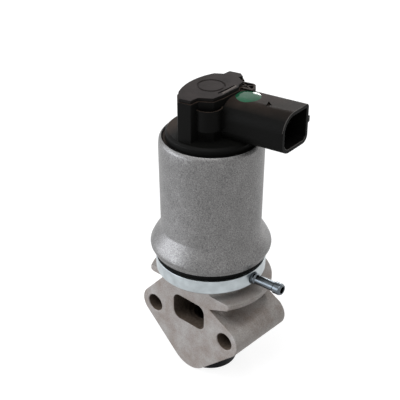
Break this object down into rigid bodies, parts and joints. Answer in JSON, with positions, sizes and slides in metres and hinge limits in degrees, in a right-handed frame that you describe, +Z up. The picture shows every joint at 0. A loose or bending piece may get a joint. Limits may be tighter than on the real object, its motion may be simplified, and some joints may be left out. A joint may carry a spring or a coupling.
{
  "type": "exhaust gas recirculation valve",
  "caption": "Solenoid exhaust gas recirculation valve: diamond-flanged cast block, sprung poppet valve, upright coil can, moulded position sensor with plug socket.",
  "frame": {"origin": "midway between the two bolt holes, on the machined face that meets the cylinder head", "axes": "+X along the line of the bolt holes, towards the plug socket; -Y the normal of the face that meets the head; +Z up the valve's axis, towards the sensor"},
  "size_m": [0.074, 0.0589, 0.1485],
  "materials": {
    "casting": "satin",
    "can": "satin",
    "zinc_plate": "satin",
    "bright_steel": "polished",
    "steel": "satin",
    "spring_steel": "satin",
    "soft_iron": "satin",
    "bronze": "satin",
    "copper_wire": "gloss",
    "black_plastic": "satin",
    "lid_plastic": "matte",
    "pale_plastic": "satin",
    "black_cap": "satin",
    "black_rubber": "matte",
    "board": "satin"
  },
  "bodies": {
    "housing": {"valve_body": "casting", "bottom_plug": "black_cap", "seat_insert": "steel", "stem_guide": "bronze", "guide_shield": "steel", "return_spring": "spring_steel", "body_gasket": "black_rubber", "base_plate": "zinc_plate", "vent_nipple": "bright_steel", "base_screws": "steel", "isolator_gasket": "black_rubber", "solenoid_cover": "can", "yoke_cup": "soft_iron", "pole_piece": "soft_iron", "armature_sleeve": "bronze", "coil_bobbin": "pale_plastic", "coil_winding": "copper_wire", "flux_washer": "soft_iron", "sensor_housing": "black_plastic", "terminal_pins": "bronze", "cover_o_ring": "black_rubber", "upper_bush": "bronze", "sensor_lid": "lid_plastic", "resistor_board": "board", "wiper_spring": "spring_steel"},
    "valve_train": {"valve_stem": "steel", "valve_head": "steel", "spring_retainer": "steel", "push_rod": "bright_steel", "armature": "soft_iron"},
    "wiper": {"wiper_carrier": "pale_plastic", "wiper_fingers": "bronze"}
  },
  "joints": [
    {"name": "valve_lift", "type": "slide", "parent": "housing", "child": "valve_train", "axis": [0, 0, -1], "range_m": [0, 0.0045], "stiffness_N_per_m": 4000, "springref_m": -0.005, "deforming": ["return_spring"]},
    {"name": "wiper_travel", "type": "slide", "parent": "housing", "child": "wiper", "axis": [0, 0, -1], "range_m": [0, 0.0045], "deforming": ["wiper_spring"]}
  ],
  "couplings": [
    {"joint": "wiper_travel", "follows": "valve_lift", "ratio": 1}
  ]
}
